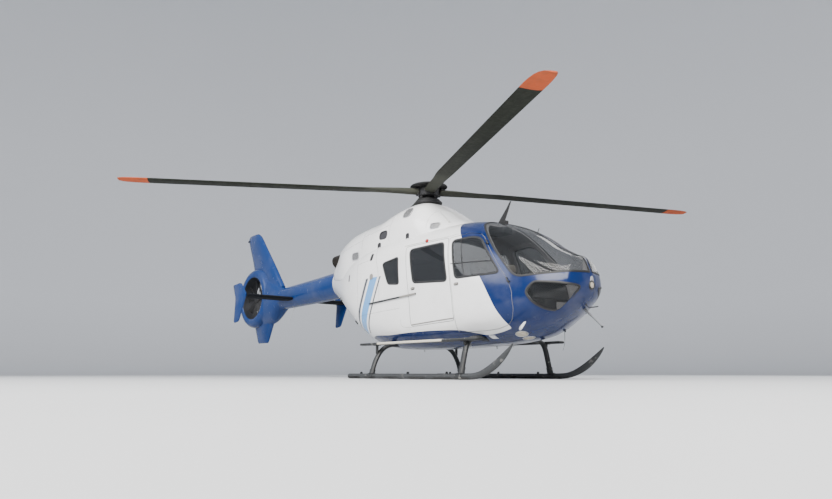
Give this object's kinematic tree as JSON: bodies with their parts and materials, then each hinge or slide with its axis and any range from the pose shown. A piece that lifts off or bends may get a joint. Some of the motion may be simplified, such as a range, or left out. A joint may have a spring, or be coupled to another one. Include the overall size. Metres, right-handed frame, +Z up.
{
  "type": "light twin-engine rescue helicopter",
  "caption": "Light rescue helicopter with main rotor, shrouded tail fan, skids, hollow glazed cabin, opening crew doors and rear clamshell doors.",
  "frame": {"origin": "bottom centre of the whole object's bounding box, on the floor that the skids stand on; the rotor mast is 1.221 m ahead of it", "axes": "+X to the nose, +Y to port, +Z up"},
  "size_m": [11.5826, 9.1412, 3.5036],
  "materials": {
    "white_paint": "gloss white coachwork paint",
    "navy_paint": "gloss dark blue coachwork paint",
    "blue_paint": "satin mid blue paint",
    "black_coat": "worn black coating",
    "blade_coat": "matt grey-green rotor coating with red tips",
    "bare_metal": "bare and heat-stained metal",
    "glazing": "grey-tinted acrylic",
    "seat_cloth": "beige seat cloth"
  },
  "bodies": {
    "airframe": {"cabin_shell": "white_paint", "windscreen_right": "glazing", "windscreen_left": "glazing", "chin_window_right": "glazing", "chin_window_left": "glazing", "rear_side_window_right": "glazing", "rear_side_window_left": "glazing", "sliding_door_right": "white_paint", "sliding_door_left": "white_paint", "sliding_door_window_right": "glazing", "sliding_door_window_left": "glazing", "mast_cowling": "white_paint", "engine_cowling": "white_paint", "exhaust_right": "bare_metal", "exhaust_left": "bare_metal", "engine_right": "bare_metal", "engine_left": "bare_metal", "gearbox": "bare_metal", "mast_housing": "black_coat", "tail_boom": "navy_paint", "tail_fin": "blue_paint", "stabiliser_right": "navy_paint", "stabiliser_left": "navy_paint", "endplate_right": "blue_paint", "endplate_left": "blue_paint", "landing_lamp_outer": "glazing", "landing_lamp_inner": "glazing", "nose_lamp": "black_coat", "door_rail_right": "black_coat", "door_rail_left": "black_coat", "cable_cutter": "black_coat", "air_probe": "bare_metal", "crosstube_front": "black_coat", "crosstube_rear": "black_coat", "skid_right": "black_coat", "skid_left": "black_coat", "step_right": "black_coat", "step_left": "black_coat", "crew_seat_right": "seat_cloth", "crew_seat_left": "seat_cloth", "attendant_seat": "seat_cloth", "stretcher": "seat_cloth", "instrument_panel": "black_coat"},
    "main_rotor": {"rotor_head": "black_coat", "main_blade_1": "blade_coat", "main_blade_2": "blade_coat", "main_blade_3": "blade_coat", "main_blade_4": "blade_coat"},
    "fan_rotor": {"tail_fan": "bare_metal"},
    "right_crew_door": {"crew_door_right": "white_paint", "crew_door_window_right": "glazing"},
    "left_crew_door": {"crew_door_left": "white_paint", "crew_door_window_left": "glazing"},
    "right_clamshell": {"clamshell_door_right": "white_paint"},
    "left_clamshell": {"clamshell_door_left": "white_paint"}
  },
  "joints": [
    {"name": "main_rotor_spin", "type": "hinge", "parent": "airframe", "child": "main_rotor", "pos_m": [1.22072, 0, 3.2236], "axis": [0, 0, 1], "continuous": true},
    {"name": "tail_fan_spin", "type": "hinge", "parent": "airframe", "child": "fan_rotor", "pos_m": [-5.06928, 0, 1.86857], "axis": [0, -1, 0], "continuous": true},
    {"name": "right_crew_door_hinge", "type": "hinge", "parent": "airframe", "child": "right_crew_door", "pos_m": [3.6618, -0.73183, 1.34391], "axis": [-0.585, 0.1054, 0.8042], "range_deg": [0, 80]},
    {"name": "left_crew_door_hinge", "type": "hinge", "parent": "airframe", "child": "left_crew_door", "pos_m": [3.6618, 0.73183, 1.34391], "axis": [0.585, 0.1054, -0.8042], "range_deg": [0, 80]},
    {"name": "right_clamshell_hinge", "type": "hinge", "parent": "airframe", "child": "right_clamshell", "pos_m": [-0.29106, -0.44185, 0.99892], "axis": [-0.7095, -0.0839, 0.6997], "range_deg": [0, 95]},
    {"name": "left_clamshell_hinge", "type": "hinge", "parent": "airframe", "child": "left_clamshell", "pos_m": [-0.29106, 0.44185, 0.99892], "axis": [0.7095, -0.0839, -0.6997], "range_deg": [0, 95]}
  ]
}
